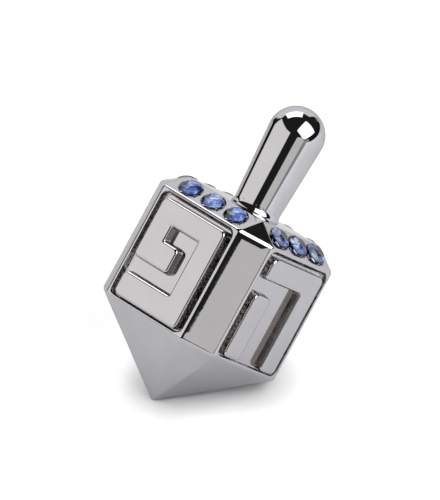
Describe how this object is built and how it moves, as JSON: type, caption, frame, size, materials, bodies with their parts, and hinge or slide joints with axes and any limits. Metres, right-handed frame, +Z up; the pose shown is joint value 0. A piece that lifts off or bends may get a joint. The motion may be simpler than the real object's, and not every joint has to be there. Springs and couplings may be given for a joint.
{
  "type": "dreidel",
  "caption": "Metal spinning top with a pointed foot, raised plates on its flat sides, a sloped crown set with faceted stones, and a tapered round grip.",
  "frame": {"origin": "middle of the foot facet that it lies on, the one below its rear plate", "axes": "+Z up, away from the table; the spin axis leans from the tip towards +Y, so the front plate faces -Y and up, the right plate +X, the left plate -X and the rear plate +Y and down"},
  "size_m": [0.026, 0.0374, 0.0385],
  "materials": {
    "chrome_body": "mirror polished plating",
    "chrome_foot": "mirror polished plating",
    "chrome_handle": "mirror polished plating",
    "chrome_plate": "mirror polished plating",
    "stud_steel": "plain zinc plate, hidden inside",
    "blue_stone": "cut and polished, foil backed"
  },
  "bodies": {
    "root": {"body_shell": "chrome_body", "foot": "chrome_foot", "handle": "chrome_handle", "tie_stud": "stud_steel", "plate_front": "chrome_plate", "plate_right": "chrome_plate", "plate_rear": "chrome_plate", "plate_left": "chrome_plate", "stone_front_1": "blue_stone", "stone_front_2": "blue_stone", "stone_front_3": "blue_stone", "stone_right_1": "blue_stone", "stone_right_2": "blue_stone", "stone_right_3": "blue_stone", "stone_rear_1": "blue_stone", "stone_rear_2": "blue_stone", "stone_rear_3": "blue_stone", "stone_left_1": "blue_stone", "stone_left_2": "blue_stone", "stone_left_3": "blue_stone"}
  },
  "joints": []
}
